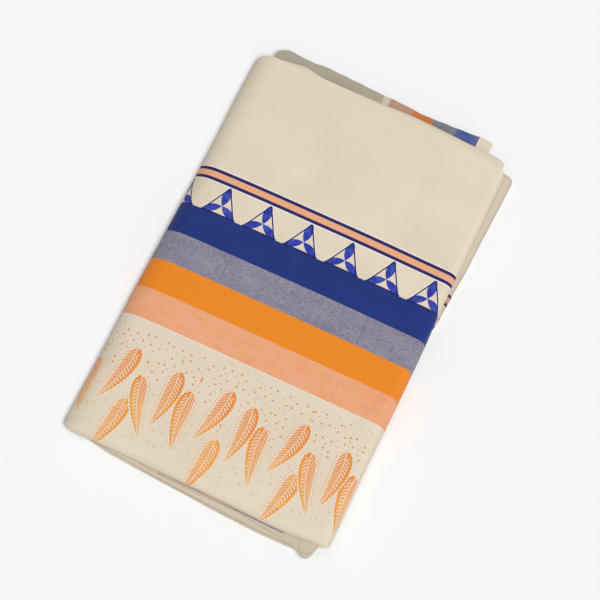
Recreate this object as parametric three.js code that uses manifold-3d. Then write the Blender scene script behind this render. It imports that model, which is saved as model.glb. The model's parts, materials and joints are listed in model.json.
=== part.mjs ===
// A cotton saree folded into a flat pack. One cloth, 6.3 m long and 1.16 m wide, is folded in four
// across its width and then to and fro into 14 stretches, so that its printed end lies on top.
// Millimetres, +Z up, +X to the right across the pack, +Y away from the viewer along it.

import * as THREE from 'three';
import Module from 'manifold-3d';
import { mergeVertices } from 'three/addons/utils/BufferGeometryUtils.js';

// Driving dimensions
const clothWidth = 1160;
const pliesAcross = 4;
const packWidth = clothWidth / pliesAcross;
const packLength = 447;
const packHeight = 30;
const ply = 1.4;
const seam = 0.3;

// How far the middle of the pack stands above its sides and its ends
const crownAcross = 3.5;
const crownAlong = 2;

// The outermost cloth: its edges seen from above, and the radius with which it rolls over each side
const faceFront = -221;
const faceLeftEdge = [
  { y: -221, x: -149.8 },
  { y: -60, x: -147.6 },
  { y: 60, x: -146 },
  { y: 228, x: -144.6 },
];
const faceRightEdge = [
  { y: -221, x: 146 },
  { y: 0, x: 144.8 },
  { y: 225, x: 143.4 },
];
const leftRoll = 17;
const rightRoll = 9;
const frontRoll = 10;
const faceBackEdge = [
  { x: -145, y: 222 },
  { x: -134, y: 228 },
  { x: -122, y: 227 },
  { x: -44, y: 226 },
  { x: 41, y: 224.3 },
  { x: 98, y: 220.5 },
  { x: 136, y: 217.2 },
  { x: 145, y: 214.5 },
];

// Where the rolled cloth ends above the table, and how far its end draws in for each millimetre
// that it hangs
const skirtPull = 0.15;
const skirtEnd = 5.4;
const rightEnd = 15.8;
const frontEnd = [
  { x: -145, z: 5.4 },
  { x: -120, z: 8 },
  { x: -96, z: 12.4 },
  { x: -60, z: 14.8 },
  { x: 0, z: 16.8 },
  { x: 150, z: 17.4 },
];

// The second fold lies under the face and looks out behind it
const secondLeft = -118;
const secondFront = 18;
const secondRoll = 5;
const secondRightEnd = 14.2;
const secondBackEnd = 18.5;
const secondBackEdge = [
  { x: -118, y: 229.5 },
  { x: -105, y: 231 },
  { x: -91, y: 232.5 },
  { x: -68, y: 228 },
  { x: -44, y: 227.5 },
  { x: 39, y: 229.8 },
  { x: 104, y: 227.6 },
  { x: 145, y: 224.6 },
];

// The hidden stretches, bottom to top, and the edges of the loose ones seen from above
const hiddenStretches = 12;
const looseStretches = 7;
const coreTopDepth = 2 * (ply + seam);
const coreLeftInset = 3.3;
const coreBack = 219;
const coreCorner = 18;
const foldDepth = 1.1;
const looseRightEdge = [
  { y: -221, x: 144.2 },
  { y: -150, x: 145.2 },
  { y: 0, x: 145.6 },
  { y: 100, x: 150 },
  { y: 165, x: 151.5 },
  { y: 219, x: 152.6 },
];
const looseFrontEdge = [
  { x: -146, y: -216.4 },
  { x: -124, y: -218.4 },
  { x: -94, y: -223.6 },
  { x: -35, y: -228 },
  { x: 39, y: -232.6 },
  { x: 75, y: -234.2 },
  { x: 112, y: -233.6 },
  { x: 146, y: -225 },
];

// The loose fold at the back
const flapLeft = -127.5;
const flapRight = 117.5;
const flapRoot = 206;
const flapThickness = 3.2;
const flapHeight = 12;
const flapEdge = [
  { x: -127, y: 241 },
  { x: -118, y: 245.2 },
  { x: -90, y: 244 },
  { x: -73, y: 245.8 },
  { x: -44, y: 244.4 },
  { x: -10, y: 241.6 },
  { x: 12, y: 241.2 },
  { x: 40, y: 239.2 },
  { x: 76, y: 242 },
  { x: 118, y: 244.2 },
];

// The loose fold in front, with its corner turned down at the right
const frontFoldLeft = -60;
const frontFoldRight = 139;
const frontFoldRoot = -208;
const frontFoldRootHeight = 14;
const frontFoldThickness = 2.6;
const frontFoldEdge = [
  { x: -60, y: -224.2, z: 11.6 },
  { x: 0, y: -226, z: 13.4 },
  { x: 50, y: -226.6, z: 13.5 },
  { x: 97, y: -231.4, z: 13.3 },
  { x: 113, y: -232.6, z: 12.8 },
  { x: 121, y: -236.6, z: 11.4 },
  { x: 129, y: -239.2, z: 11 },
  { x: 135, y: -234, z: 11.6 },
  { x: 139, y: -225.5, z: 12.2 },
];

// The bottom stretch, drawn in from the core's outline
const underInset = 1.2;

const wasm = await Module();
wasm.setup();

const lerp = THREE.MathUtils.lerp;

// The value of a column where the key column is at, in a table whose rows are in order of the key
function lookUp(table, key, at, column) {
  const last = table.length - 1;
  if (at <= table[0][key]) return table[0][column];
  if (at >= table[last][key]) return table[last][column];
  const i = table.findIndex((row) => row[key] > at);
  const [a, b] = [table[i - 1], table[i]];
  return lerp(a[column], b[column], THREE.MathUtils.smoothstep(at, a[key], b[key]));
}

function closedGeometry(points, triangles) {
  const geometry = new THREE.BufferGeometry();
  geometry.setAttribute('position', new THREE.Float32BufferAttribute(points.flat(), 3));
  geometry.setIndex(triangles.flat());
  return geometry;
}

// A closed body through a row of loops with the same number of points. Each end is closed by
// strips that join a loop's first half to its second half.
function loft(loops) {
  const around = loops[0].length;
  const triangles = [];
  const quad = (a, b, c, d) => triangles.push([a, b, c], [a, c, d]);
  for (let k = 0; k < loops.length - 1; k += 1) {
    for (let i = 0; i < around; i += 1) {
      const next = (i + 1) % around;
      quad(k * around + i, k * around + next, (k + 1) * around + next, (k + 1) * around + i);
    }
  }
  const end = (loops.length - 1) * around;
  for (let i = 0; i < around / 2 - 1; i += 1) {
    const across = around - 1 - i;
    quad(i, across, across - 1, i + 1);
    quad(end + i, end + i + 1, end + across - 1, end + across);
  }
  return closedGeometry(loops.flat(), triangles);
}

// The sides of the outermost cloth, seen from above
const leftAt = (y) => lookUp(faceLeftEdge, 'y', y, 'x');
const rightAt = (y) => lookUp(faceRightEdge, 'y', y, 'x');

// The height of the outermost cloth before it rolls over its edges
function crownAt(x, y) {
  const across = crownAcross * (2 * x / packWidth) ** 2;
  const along = crownAlong * (2 * y / packLength) ** 2;
  const ripple = 0.5 * Math.sin(x / 31 + y / 83) * Math.cos(y / 57 - x / 140);
  return packHeight - across - along + ripple;
}

// The height under the rolled edges, where dropX and dropY are what each roll takes off. At a corner
// the two run into each other softly.
function rolledHeight(x, y, depth, dropX, dropY) {
  const drop = (dropX ** 6 + dropY ** 6) ** (1 / 6);
  return Math.max(crownAt(x, y) - depth - drop, skirtEnd);
}

// A rolled cloth's corner seen from above, drawn in so that it is a little round
function rolledPoint(x, y, depth) {
  const reach = 2.4;
  const shareX = Math.min(Math.abs(x.out) / rightRoll, 1);
  const shareY = Math.min(Math.abs(y.out) / secondRoll, 1);
  const pull = reach * (shareX * shareY) ** 2;
  const atX = x.at - Math.sign(x.out) * pull;
  const atY = y.at - Math.sign(y.out) * pull;
  return [atX, atY, rolledHeight(x.at, y.at, depth, x.drop, y.drop)];
}

// The places across or along a rolled cloth: on the flat, round each roll and down to its end
function stations(rollSteps, flatSteps, rollsAtStart, rollsAtEnd) {
  const rows = [];
  if (rollsAtStart) {
    rows.push({ part: 'start', turn: 1, skirt: 1 });
    for (let i = rollSteps; i > 0; i -= 1) {
      rows.push({ part: 'start', turn: i / rollSteps, skirt: 0 });
    }
  }
  for (let i = 0; i <= flatSteps; i += 1) {
    rows.push({ part: 'flat', share: i / flatSteps });
  }
  if (rollsAtEnd) {
    for (let i = 1; i <= rollSteps; i += 1) {
      rows.push({ part: 'end', turn: i / rollSteps, skirt: 0 });
    }
    rows.push({ part: 'end', turn: 1, skirt: 1 });
  }
  return rows;
}

// Where a station lies: its place from the roll's centre line outwards, and how far it drops
function rolled(station, from, to, startRadius, endRadius, startSkirt, endSkirt) {
  if (station.part === 'flat') {
    return { at: lerp(from, to, station.share), drop: 0, out: 0 };
  }
  const start = station.part === 'start';
  const radius = start ? startRadius : endRadius;
  const angle = station.turn * Math.PI / 2;
  const skirt = station.skirt * (start ? startSkirt : endSkirt);
  const out = radius * Math.sin(angle) - skirtPull * skirt;
  const drop = radius * (1 - Math.cos(angle)) + skirt;
  return { at: start ? from - out : to + out, drop, out: start ? -out : out };
}

// One layer of the face at a depth under its outside, as rows of points from front to back
function faceLayer(depth) {
  const across = stations(6, 16, true, true);
  const along = stations(4, 24, true, false);
  const yFront = faceFront + frontRoll;
  return along.map((row) => across.map((column, i) => {
    const xRough = (i / (across.length - 1) - 0.5) * packWidth;
    const yBack = lookUp(faceBackEdge, 'x', xRough, 'y');
    const frontSkirt = crownAt(xRough, faceFront) - lookUp(frontEnd, 'x', xRough, 'z') - frontRoll;
    const y = rolled(row, yFront, yBack, frontRoll - depth, 0, Math.max(frontSkirt, 0.4), 0);
    const [left, right] = [leftAt(y.at), rightAt(y.at)];
    const leftSkirt = crownAt(left, y.at) - skirtEnd - leftRoll;
    const rightSkirt = crownAt(right, y.at) - rightEnd - rightRoll;
    const x = rolled(
      column, left + leftRoll, right - rightRoll, leftRoll - depth, rightRoll - depth,
      leftSkirt, rightSkirt,
    );
    return rolledPoint(x, y, depth);
  }));
}

// A layer of the second fold, which only rolls over the right side and the back edge
function secondLayer(depth) {
  const across = stations(6, 14, false, true);
  const along = stations(4, 18, false, true);
  const yFront = faceFront + secondFront;
  return along.map((row) => across.map((column) => {
    const xRough = lerp(secondLeft, packWidth / 2, column.share ?? 1);
    const yBack = lookUp(secondBackEdge, 'x', xRough, 'y') - secondRoll;
    const backSkirt = crownAt(xRough, yBack) - secondBackEnd - secondRoll;
    const y = rolled(row, yFront, yBack, 0, secondRoll - depth, 0, Math.max(backSkirt, 0.4));
    const right = rightAt(y.at);
    const rightSkirt = crownAt(right, y.at) - secondRightEnd - rightRoll;
    const x = rolled(column, secondLeft, right - rightRoll, 0, rightRoll - depth, 0, rightSkirt);
    return rolledPoint(x, y, depth);
  }));
}

// A wall between an upper and a lower layer of points
function wallBetween(outer, inner) {
  return loft(outer.map((row, k) => [...row, ...inner[k].toReversed()]));
}

const palluFace = () => wallBetween(faceLayer(0), faceLayer(ply));

function secondFold() {
  const depth = ply + seam;
  return wallBetween(secondLayer(depth), secondLayer(depth + ply));
}

// The core's outline seen from above, as shares of its box with rounded corners, anticlockwise
// from the front left
function outlineShares() {
  const sides = [
    { from: [0, 0], to: [1, 0], steps: 10 },
    { from: [1, 0], to: [1, 1], steps: 10 },
    { from: [1, 1], to: [0, 1], steps: 8 },
    { from: [0, 1], to: [0, 0], steps: 10 },
  ];
  const size = [packWidth, packLength];
  const cornerSteps = 4;
  const shares = [];
  for (const side of sides) {
    const axis = side.from[0] === side.to[0] ? 1 : 0;
    const inset = coreCorner / size[axis];
    for (let i = 0; i <= side.steps; i += 1) {
      const along = lerp(inset, 1 - inset, i / side.steps);
      const point = [...side.from];
      point[axis] = side.from[axis] < side.to[axis] ? along : 1 - along;
      shares.push(point);
    }
    const turn = axis === 0 ? side.to[0] === 1 : side.to[1] === 1;
    const signX = side.to[0] === 1 ? 1 : -1;
    const signY = side.to[1] === 1 ? 1 : -1;
    const first = axis === 0 ? (turn ? -Math.PI / 2 : Math.PI / 2) : (turn ? 0 : Math.PI);
    for (let i = 1; i < cornerSteps; i += 1) {
      const angle = first + i / cornerSteps * Math.PI / 2;
      shares.push([
        side.to[0] + (Math.cos(angle) - signX) * coreCorner / packWidth,
        side.to[1] + (Math.sin(angle) - signY) * coreCorner / packLength,
      ]);
    }
  }
  return shares;
}

// The height of the core's top under the rolled cloth, at a place seen from above
function coreTopAt(x, y) {
  const dropPast = (distance, outerRadius) => {
    const radius = outerRadius - coreTopDepth;
    const reach = THREE.MathUtils.clamp(distance, 0, radius);
    return radius - Math.sqrt(radius ** 2 - reach ** 2);
  };
  const dropX = x < 0
    ? dropPast(leftAt(y) + leftRoll - x, leftRoll) : dropPast(x - rightAt(y) + rightRoll, rightRoll);
  const dropY = dropPast(faceFront + frontRoll - y, frontRoll);
  return rolledHeight(x, y, coreTopDepth, dropX, dropY);
}

// How far each hidden stretch lies out of line, worked out from its number
const strayX = (k) => 0.7 * Math.sin(2.4 * k + 1);
const strayY = (k) => 0.9 * Math.sin(1.7 * k);

// One ring of the core, drawn in from its outline by inset. Loose stretches reach further out on
// the right and in front than those held under the face.
function coreRing(shares, level, inset, loose) {
  const underFace = coreTopDepth + 2 * seam;
  const back = coreBack + strayY(level) - inset;
  return shares.map(([a, b]) => {
    const yRough = lerp(faceFront, coreBack, b);
    const left = leftAt(yRough) + coreLeftInset + 0.5 * strayX(level) + inset;
    const looseRight = lookUp(looseRightEdge, 'y', yRough, 'x') + strayX(level);
    const right = (loose ? looseRight : rightAt(yRough) - underFace) - inset;
    const x = lerp(left, right, a);
    const looseFront = lookUp(looseFrontEdge, 'x', x, 'y') + strayY(level);
    const front = (loose ? looseFront : faceFront + underFace) + inset;
    return [x, lerp(front, back, b)];
  });
}

// The hidden stretches as one rounded solid. Each stretch is a ridge round the side.
function foldedCore() {
  const shares = outlineShares();
  const base = ply + seam;
  const ridge = [
    { rise: 0.08, inset: foldDepth },
    { rise: 0.36, inset: 0.1 },
    { rise: 0.72, inset: 0.1 },
  ];
  const rings = [];
  const addRing = (level, inset, loose, heightAt) => rings.push(
    coreRing(shares, level, inset, loose).map(([x, y]) => [x, y, heightAt(x, y)]),
  );
  addRing(0, 6, true, () => base);
  addRing(0, 2.5, true, () => base);
  for (let k = 0; k < hiddenStretches; k += 1) {
    const loose = k < looseStretches;
    for (const row of ridge) {
      const share = (k + row.rise) / hiddenStretches;
      const side = coreRing(shares, k, 0, false);
      const heights = side.map(([x, y]) => lerp(base, coreTopAt(x, y), share));
      const inset = row.inset + (k === 0 ? 1 : 0);
      rings.push(coreRing(shares, k, inset, loose).map(([x, y], i) => [x, y, heights[i]]));
    }
  }
  for (const inset of [0.9, 2.2, 5, 11, 22, 50, 90, 125]) {
    addRing(hiddenStretches, inset, false, coreTopAt);
  }
  return loft(rings);
}

// A loose folded edge: sections from a root inside the pack to a rounded edge
function looseFold(xFrom, xTo, steps, thickness, root, edgeAt, middleAt) {
  const loops = [];
  const turns = 6;
  for (let i = 0; i <= steps; i += 1) {
    const x = lerp(xFrom, xTo, i / steps);
    const edge = edgeAt(x);
    const half = thickness / 2;
    const out = Math.sign(edge - root);
    const nose = edge - out * half;
    const spine = [0, 0.35, 0.7, 0.9].map((share) => lerp(root, nose, share));
    const upper = spine.map((y) => [x, y, middleAt(x, y) + half]);
    const lower = spine.map((y) => [x, y, middleAt(x, y) - half]);
    const round = [];
    for (let j = 0; j <= turns; j += 1) {
      const angle = Math.PI / 2 - j / turns * Math.PI;
      const y = nose + out * half * Math.cos(angle);
      round.push([x, y, middleAt(x, nose) + half * Math.sin(angle)]);
    }
    const loop = [...upper, ...round, ...lower.toReversed()];
    loops.push(out < 0 ? loop : loop.toReversed());
  }
  return loft(loops);
}

function borderFlap(clearance) {
  const edgeAt = (x) => lookUp(flapEdge, 'x', x, 'y') + clearance;
  const middleAt = (x, y) => {
    const out = Math.max(y - coreBack, 0) / (packLength / 2 + 20 - coreBack);
    return flapHeight + out * (1.6 * Math.sin(x / 24 + 1) - 1.2);
  };
  const thickness = flapThickness + 2 * clearance;
  return looseFold(
    flapLeft - clearance, flapRight + clearance, 36, thickness, flapRoot - clearance, edgeAt,
    middleAt,
  );
}

function frontFold(clearance) {
  const edgeAt = (x) => lookUp(frontFoldEdge, 'x', x, 'y') - clearance;
  const middleAt = (x, y) => {
    const share = THREE.MathUtils.clamp((frontFoldRoot - y) / (frontFoldRoot - edgeAt(x)), 0, 1);
    return lerp(frontFoldRootHeight, lookUp(frontFoldEdge, 'x', x, 'z'), share);
  };
  const thickness = frontFoldThickness + 2 * clearance;
  return looseFold(
    frontFoldLeft - clearance, frontFoldRight + clearance, 40, thickness,
    frontFoldRoot + clearance, edgeAt, middleAt,
  );
}

// The bottom stretch: a flat sheet with a rounded edge
function underStretch() {
  const shares = outlineShares();
  const rings = [
    { inset: 8, z: 0 },
    { inset: 0.6, z: 0 },
    { inset: 0, z: 0.5 * ply },
    { inset: 0.6, z: ply },
    { inset: 8, z: ply },
  ];
  return loft(rings.map(({ inset, z }) => (
    coreRing(shares, 0, underInset + inset, true).map(([x, y]) => [x, y, z])
  )));
}

function toSolid(geometry) {
  const bare = geometry.clone();
  bare.deleteAttribute('normal');
  bare.deleteAttribute('uv');
  const merged = mergeVertices(bare);
  return new wasm.Manifold(new wasm.Mesh({
    numProp: 3,
    vertProperties: new Float32Array(merged.attributes.position.array),
    triVerts: new Uint32Array(merged.index.array),
  }));
}

function toGeometry(solid) {
  const mesh = solid.getMesh();
  const geometry = new THREE.BufferGeometry();
  geometry.setAttribute('position', new THREE.BufferAttribute(mesh.vertProperties, 3));
  geometry.setIndex(new THREE.BufferAttribute(mesh.triVerts, 1));
  return geometry;
}

// The core leaves room for the roots of the two loose folds
function coreWithRoom() {
  const room = toSolid(borderFlap(seam)).add(toSolid(frontFold(seam)));
  return toGeometry(toSolid(foldedCore()).subtract(room));
}

const cotton = (color) => new THREE.MeshStandardMaterial({ color, roughness: 0.9, metalness: 0 });

const sari = new THREE.Group();
const addStretch = (name, geometry, color) => {
  const mesh = new THREE.Mesh(geometry, cotton(color));
  mesh.name = name;
  sari.add(mesh);
};

addStretch('pallu_face', palluFace(), '#e3d4bf');
addStretch('second_fold', secondFold(), '#dccfb9');
addStretch('folded_core', coreWithRoom(), '#d8cab2');
addStretch('border_flap', borderFlap(0), '#b9b09c');
addStretch('front_fold', frontFold(0), '#d5c5ad');
addStretch('under_stretch', underStretch(), '#d8cab2');

// The origin is under the middle of the whole pack
const box = new THREE.Box3().setFromObject(sari);
const middle = box.getCenter(new THREE.Vector3());
sari.position.set(-middle.x, -middle.y, -box.min.z);

export default sari;
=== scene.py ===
# %% [markdown]
# This is a cotton saree folded into a flat pack. One cloth, 6.3 m long and 1.16 m wide, is folded
# in four across its width and then to and fro along its length. What shows is the printed end on
# top, and the edges of the folds below it. Lengths here are in millimetres, as a weaver has them,
# and become metres when a mesh is made.

import json
import math
import bpy
import numpy as np
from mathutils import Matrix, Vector

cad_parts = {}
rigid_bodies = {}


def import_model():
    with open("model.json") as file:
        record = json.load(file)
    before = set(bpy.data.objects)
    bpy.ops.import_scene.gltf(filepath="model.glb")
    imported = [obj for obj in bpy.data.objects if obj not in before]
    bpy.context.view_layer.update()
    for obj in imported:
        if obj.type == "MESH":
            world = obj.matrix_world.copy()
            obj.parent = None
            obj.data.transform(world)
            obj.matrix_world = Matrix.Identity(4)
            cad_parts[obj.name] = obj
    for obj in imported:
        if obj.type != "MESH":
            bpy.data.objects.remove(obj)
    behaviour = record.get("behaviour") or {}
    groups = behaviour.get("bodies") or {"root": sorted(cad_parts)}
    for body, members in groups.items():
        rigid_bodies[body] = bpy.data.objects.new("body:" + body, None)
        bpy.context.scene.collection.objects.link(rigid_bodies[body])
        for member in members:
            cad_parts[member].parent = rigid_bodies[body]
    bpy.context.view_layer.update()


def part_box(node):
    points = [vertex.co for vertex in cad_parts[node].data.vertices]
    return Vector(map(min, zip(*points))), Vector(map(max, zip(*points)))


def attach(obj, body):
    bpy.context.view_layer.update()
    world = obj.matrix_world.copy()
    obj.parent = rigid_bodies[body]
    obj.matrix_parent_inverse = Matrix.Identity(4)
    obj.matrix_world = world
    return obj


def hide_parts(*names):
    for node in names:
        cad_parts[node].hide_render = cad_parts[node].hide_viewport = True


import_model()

# %% [markdown]
# The pack was measured from its printed end, so its plan has its own zero point. The frame puts
# the origin under the middle of everything, loose folds too. The shift between the two is read
# from the top cloth's box, so the cloth lies where the frame says.

# %% The shift from the pack's plan to the frame
face_front = -221.0
face_left_most = -149.8
top_cloth_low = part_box("pallu_face")[0]
shift_x = top_cloth_low[0] * 1000 - face_left_most
shift_y = top_cloth_low[1] * 1000 - face_front
print("shift in mm:", round(shift_x, 2), round(shift_y, 2))

# %% [markdown]
# The camera comes first. It looks down at the pack from in front and a little from the right. A
# long lens from three metres keeps the pack's sides almost parallel.

# %% Camera
camera_azimuth = math.radians(25.37)
camera_elevation = math.radians(71.86)
camera_distance = 3.2
pixels_per_mm = 0.9844
looked_at = Vector(((10.4 + shift_x) / 1000, (1.5 + shift_y) / 1000, 0.015))
backwards = Vector((
    math.sin(camera_azimuth) * math.cos(camera_elevation),
    -math.cos(camera_azimuth) * math.cos(camera_elevation),
    math.sin(camera_elevation),
))
bpy.ops.object.camera_add(location=looked_at + backwards * camera_distance)
camera = bpy.context.object
camera.rotation_euler = backwards.to_track_quat("Z", "Y").to_euler()
camera.data.sensor_width = 36
camera.data.lens = pixels_per_mm * camera_distance * 1000 / 600 * 36
camera.data.clip_end = 20
bpy.context.scene.camera = camera
print("lens in mm:", round(camera.data.lens, 1))

# %% [markdown]
# The light is a plain studio: an even white surround, and one very large soft light overhead,
# a little to the front and the right. So the top is evenly lit, the left side darkens as it rolls
# down, and the fold at the back lies in the pack's soft shade. The floor is pale and plain.

# %% Light and floor
world = bpy.data.worlds.new("studio")
bpy.context.scene.world = world
world.use_nodes = True
world.node_tree.nodes["Background"].inputs["Color"].default_value = (1.0, 1.0, 1.0, 1.0)
world.node_tree.nodes["Background"].inputs["Strength"].default_value = 0.3

key_direction = Vector((0.3, -0.2, 0.9)).normalized()
bpy.ops.object.light_add(type="SUN", location=key_direction * 3)
key_light = bpy.context.object
key_light.rotation_euler = key_direction.to_track_quat("Z", "Y").to_euler()
key_light.data.energy = 2.25
key_light.data.angle = math.radians(28)

bpy.ops.mesh.primitive_plane_add(size=8, location=(0, 0, -0.0004))
floor = bpy.context.object
floor.name = "floor"
floor_finish = bpy.data.materials.new("floor_paper")
floor_finish.use_nodes = True
floor_shader = floor_finish.node_tree.nodes["Principled BSDF"]
floor_shader.inputs["Base Color"].default_value = (0.96, 0.96, 0.96, 1.0)
floor_shader.inputs["Roughness"].default_value = 1.0
floor_shader.inputs["Specular IOR Level"].default_value = 0.0
floor.data.materials.append(floor_finish)
bpy.context.scene.view_settings.view_transform = "Standard"
bpy.context.scene.view_settings.look = "None"
print("light and floor are set")

# %% [markdown]
# Colours are read off the cloth as a screen shows them, from 0 to 255, and a shader wants linear
# light. This turns one into the other.

# %% Colours of the cloth
def screen_colour(red, green, blue):
    channels = []
    for channel in (red, green, blue):
        share = channel / 255
        low = share / 12.92
        high = ((share + 0.055) / 1.055) ** 2.4
        channels.append(low if share <= 0.04045 else high)
    return (*channels, 1.0)


cream = screen_colour(230, 215, 193)
cream_warm = screen_colour(221, 205, 178)
cream_pale = screen_colour(236, 224, 210)
husk_brown = screen_colour(158, 118, 76)
deep_blue = screen_colour(30, 49, 120)
deep_blue_light = screen_colour(44, 68, 138)
grey_blue_dark = screen_colour(92, 94, 132)
grey_blue_light = screen_colour(172, 165, 168)
orange = screen_colour(242, 144, 38)
orange_deep = screen_colour(230, 122, 30)
peach = screen_colour(238, 156, 104)
peach_pale = screen_colour(238, 182, 146)
peach_line = screen_colour(236, 172, 134)
border_blue = screen_colour(70, 86, 150)
navy = screen_colour(38, 40, 98)
petal_blue = screen_colour(44, 58, 160)
petal_light = screen_colour(70, 90, 186)
print_orange = screen_colour(234, 142, 60)
print_yellow = screen_colour(244, 176, 66)
print_faint = screen_colour(206, 138, 82)
print_brown = screen_colour(186, 108, 66)
# Painted shade: a grey that the colour of deeper plies is mixed towards.
painted_shade_tint = screen_colour(108, 108, 96)
# Painted shade: the long border's darker colours on the low back fold, for the pack's shadow over
# it.
painted_shade_pale = screen_colour(202, 191, 173)
painted_shade_cream = screen_colour(170, 162, 145)
painted_shade_peach = screen_colour(184, 140, 118)
painted_shade_orange = screen_colour(198, 112, 58)
painted_shade_grey_blue = screen_colour(116, 117, 132)
print_white = screen_colour(240, 232, 224)
print("colours are ready")

# %% [markdown]
# A pattern in a material is arithmetic on two distances: how far across the cloth a point is, and
# how far along it. Each sum is a Math node. This small class lets the sums be written as sums, and
# adds the nodes itself.

# %% Arithmetic with nodes
class Distance:
    def __init__(self, tree, socket):
        self.tree = tree
        self.socket = socket

    def math(self, operation, *others):
        node = self.tree.nodes.new("ShaderNodeMath")
        node.operation = operation
        for place, value in zip(node.inputs, (self, *others)):
            if isinstance(value, Distance):
                self.tree.links.new(value.socket, place)
            else:
                place.default_value = value
        return Distance(self.tree, node.outputs[0])

    def __add__(self, other):
        return self.math("ADD", other)

    def __sub__(self, other):
        return self.math("SUBTRACT", other)

    def __mul__(self, other):
        return self.math("MULTIPLY", other)

    def __truediv__(self, other):
        return self.math("DIVIDE", other)

    def over(self, limit):
        return self.math("GREATER_THAN", limit)

    def under(self, limit):
        return self.math("LESS_THAN", limit)

    def between(self, low, high):
        return self.over(low) * self.under(high)

    def or_else(self, other):
        return self.math("MAXIMUM", other)

    def without(self, other):
        return self * (other * -1.0 + 1.0)

    def size(self):
        return self.math("ABSOLUTE")

    def part_left(self):
        return self.math("FRACT")


# %% [markdown]
# Three more small helpers. One lays a colour over another where a mask says so. One gives cloudy
# noise, which can be drawn out along a thread. One gives each repeat of a motif its own chance.

# %% Colour, noise and chance
def lay_over(under, mask, over):
    node = mask.tree.nodes.new("ShaderNodeMix")
    node.data_type = "RGBA"
    node.clamp_factor = True
    mask.tree.links.new(mask.socket, node.inputs[0])
    for place, colour in zip((node.inputs[6], node.inputs[7]), (under, over)):
        if isinstance(colour, tuple):
            place.default_value = colour
        else:
            mask.tree.links.new(colour, place)
    return node.outputs[2]


def plan_point(across, along):
    node = across.tree.nodes.new("ShaderNodeCombineXYZ")
    across.tree.links.new(across.socket, node.inputs[0])
    across.tree.links.new(along.socket, node.inputs[1])
    return node.outputs[0]


def cloudy(across, along, length_across, length_along, detail=2.0):
    node = across.tree.nodes.new("ShaderNodeTexNoise")
    node.noise_dimensions = "2D"
    node.inputs["Scale"].default_value = 1.0
    node.inputs["Detail"].default_value = detail
    point = plan_point(across / length_across, along / length_along)
    across.tree.links.new(point, node.inputs["Vector"])
    return Distance(across.tree, node.outputs[0])


def chance_of(number, salt):
    node = number.tree.nodes.new("ShaderNodeTexWhiteNoise")
    node.noise_dimensions = "1D"
    number.tree.links.new((number + salt).socket, node.inputs["W"])
    return Distance(number.tree, node.outputs["Value"])


def dots(across, along, gap_across, gap_along, radius):
    node = across.tree.nodes.new("ShaderNodeTexVoronoi")
    node.voronoi_dimensions = "2D"
    node.inputs["Scale"].default_value = 1.0
    node.inputs["Randomness"].default_value = 0.62
    point = plan_point(across / gap_across, along / gap_along)
    across.tree.links.new(point, node.inputs["Vector"])
    return Distance(across.tree, node.outputs["Distance"]).under(radius)


# %% [markdown]
# The printed leaf hangs from its head. It is an ordinary leaf shape worked out by a formula: a
# round head, a fine tip and a midrib that bends aside. One half is full ink with slanted gaps
# inside a heavy toothed rim. The other half is a row of slanted strokes, each finer at its outer
# end, with a dotted line outside it. Each leaf also has a thin pale margin, as where a block
# lifts off. A leaf in a row takes its place and tilt from the row's table, by its place across.

# %% A printed leaf
leaf_length = 64.0
leaf_bend = 18.0
leaf_bend_turn = 15.5


def leaf_outline(share):
    held = share.math("MAXIMUM", 0.0).math("MINIMUM", 1.0)
    return held, held.math("POWER", 0.42) * (held * -1.0 + 1.0).math("POWER", 1.05)


def full_half(reach, side, share, width):
    tooth = (reach * (2 * math.pi / 3.7)).math("SINE") * 0.45
    body = side.over(0.5) * (side - width * 20.5 - tooth).under(0.0)
    slot = ((reach - side * 0.95) / 3.7).part_left().over(0.6)
    inner = side.over(1.2) * (side - width * 15.5 + 0.9).under(0.0) * share.over(0.09)
    return body.without(slot * inner)


def stroked_half(reach, side, share, width, ragged):
    edge = width * 20.0
    taper = side / (edge + 0.5)
    stroke = ((reach - side * 0.85) / 3.3).part_left() + taper * 0.26
    fine = side.over(0.5) * (side - edge + ragged).under(0.0) * stroke.under(0.84)
    echo = (side - edge).between(1.7, 2.6) * (reach / 3.2).part_left().under(0.5)
    thread = (side - edge).between(2.0, 2.5) * share.under(0.14)
    return fine.or_else(echo * share.between(0.1, 0.78) * 0.85).or_else(thread * 0.6)


def stepped(place, starts, values):
    result = place * 0.0 + values[0]
    for i in range(len(starts)):
        result = result + place.over(starts[i]) * (values[i + 1] - values[i])
    return result


def leaf_row(across, along, row):
    heads = row["head"]
    starts = [(heads[i] + heads[i + 1]) / 2 + row["lean"] for i in range(len(heads) - 1)]
    turns = [math.radians(tilt + row["mirror"] * leaf_bend_turn) for tilt in row["tilt"]]
    head = stepped(across, starts, heads)
    aside = across - head
    down = along * -1.0 + stepped(across, starts, row["along"])
    turn = stepped(across, starts, turns)
    turn_sine = turn.math("SINE")
    turn_cosine = turn.math("COSINE")
    reach = aside * turn_sine + down * turn_cosine
    side = (aside * turn_cosine - down * turn_sine) * row["mirror"]
    share = reach / leaf_length
    held, width = leaf_outline(share)
    side = side + held * held * leaf_bend
    far_side = side * -1.0
    on_leaf = share.between(0.0, 1.0)
    chance = chance_of(head, 2.7)
    ragged = cloudy(across, along, 1.7, 1.7) * 3.0 - 1.3
    heavy = full_half(reach, side, share, width)
    fine = stroked_half(reach, far_side, share, width, ragged)
    stem = side.size().under(0.24) * reach.between(-14.0, 0.0) * chance.over(0.25)
    bud = (side.size() + (reach + 15.0).size()).under(1.6) * chance.over(0.5)
    ink = (heavy.or_else(fine) * on_leaf).or_else(stem * 0.6).or_else(bud)
    margin = (side - width * 20.5).under(1.3) * (far_side - width * 20.0).under(1.0)
    margin = margin * share.between(-0.02, 1.02)
    near = (side.size() - width * 22.0).under(4.6) * share.between(-0.06, 1.03)
    tip = (share - 0.36) * 2.2 * cloudy(across, along, 18.0, 18.0)
    return {"ink": ink, "margin": margin, "near": near, "tip": tip * on_leaf}


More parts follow.
